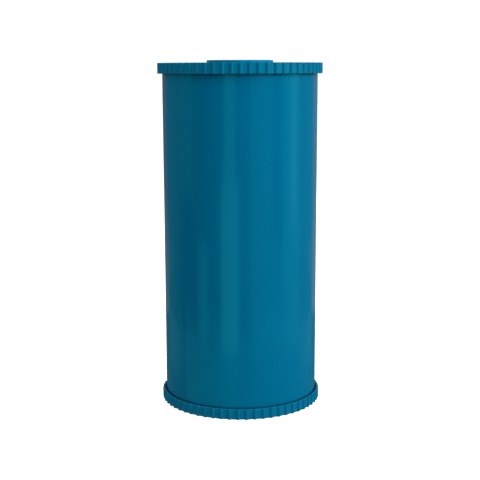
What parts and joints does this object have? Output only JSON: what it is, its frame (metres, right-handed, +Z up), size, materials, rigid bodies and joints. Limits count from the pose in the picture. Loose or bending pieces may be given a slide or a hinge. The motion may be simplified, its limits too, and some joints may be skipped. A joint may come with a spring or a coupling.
{
  "type": "cartridge filter housing",
  "caption": "Upright plastic filter cartridge casing: a smooth round tube between serrated screw caps, a flat gasket round the outlet port, and a sprung bed of loose media inside.",
  "frame": {"origin": "centre of the flat rim face that the inlet cap stands on", "axes": "+Z up along the tube towards the outlet cap and its gasket; +X and +Y are any two radial directions, with a rib between pockets of the caps 15 degrees from +X"},
  "size_m": [0.1174, 0.1174, 0.247],
  "materials": {
    "teal_tube": "glossy extruded pipe, faint draw waves along its length",
    "teal_cap": "satin injection moulding",
    "teal_insert": "satin injection moulding, solvent bonded",
    "blue_gasket": "smooth moulded rubber",
    "black_seal": "lubricated moulded rubber",
    "white_net": "extruded diamond net",
    "natural_plastic": "natural polypropylene moulding",
    "spring_steel": "drawn stainless wire",
    "white_felt": "needled polyester felt",
    "grey_foam": "open reticulated foam",
    "carbon_granules": "matt black granules of shell charcoal"
  },
  "bodies": {
    "inlet_end": {"inlet_cap": "teal_cap", "inlet_screen": "white_net", "inlet_screen_ring": "natural_plastic"},
    "inlet_seal": {"inlet_o_ring": "black_seal"},
    "casing": {"casing_tube": "teal_tube", "inlet_thread_ring": "teal_insert", "outlet_thread_ring": "teal_insert", "spring_retainer": "natural_plastic", "bed_spring": "spring_steel", "carbon_bed": "carbon_granules", "expansion_pad": "grey_foam", "outlet_pad": "white_felt", "support_plate": "natural_plastic"},
    "plunger": {"pressure_plate": "natural_plastic", "inlet_pad": "white_felt"},
    "outlet_seal": {"outlet_o_ring": "black_seal"},
    "outlet_end": {"outlet_cap": "teal_cap", "outlet_gasket": "blue_gasket", "outlet_screen": "white_net", "outlet_screen_ring": "natural_plastic"}
  },
  "joints": [
    {"name": "casing_turn", "type": "hinge", "parent": "inlet_end", "child": "inlet_seal", "pos_m": [0, 0, 0.004], "axis": [0, 0, 1], "range_deg": [0, 810]},
    {"name": "casing_lift", "type": "slide", "parent": "inlet_seal", "child": "casing", "axis": [0, 0, 1], "range_m": [0, 0.01801]},
    {"name": "outlet_cap_lift", "type": "slide", "parent": "casing", "child": "outlet_seal", "axis": [0, 0, 1], "range_m": [0, 0.01801]},
    {"name": "outlet_cap_turn", "type": "hinge", "parent": "outlet_seal", "child": "outlet_end", "pos_m": [0, 0, 0.24115], "axis": [0, 0, 1], "range_deg": [0, 810]},
    {"name": "plate_slide", "type": "slide", "parent": "casing", "child": "plunger", "axis": [0, 0, 1], "range_m": [-0.005, 0], "stiffness_N_per_m": 1400, "springref_m": 0.02, "deforming": ["bed_spring"]}
  ],
  "couplings": [
    {"joint": "casing_lift", "follows": "casing_turn", "m_per_rad": 0.0012732},
    {"joint": "outlet_cap_lift", "follows": "outlet_cap_turn", "m_per_rad": 0.0012732}
  ]
}
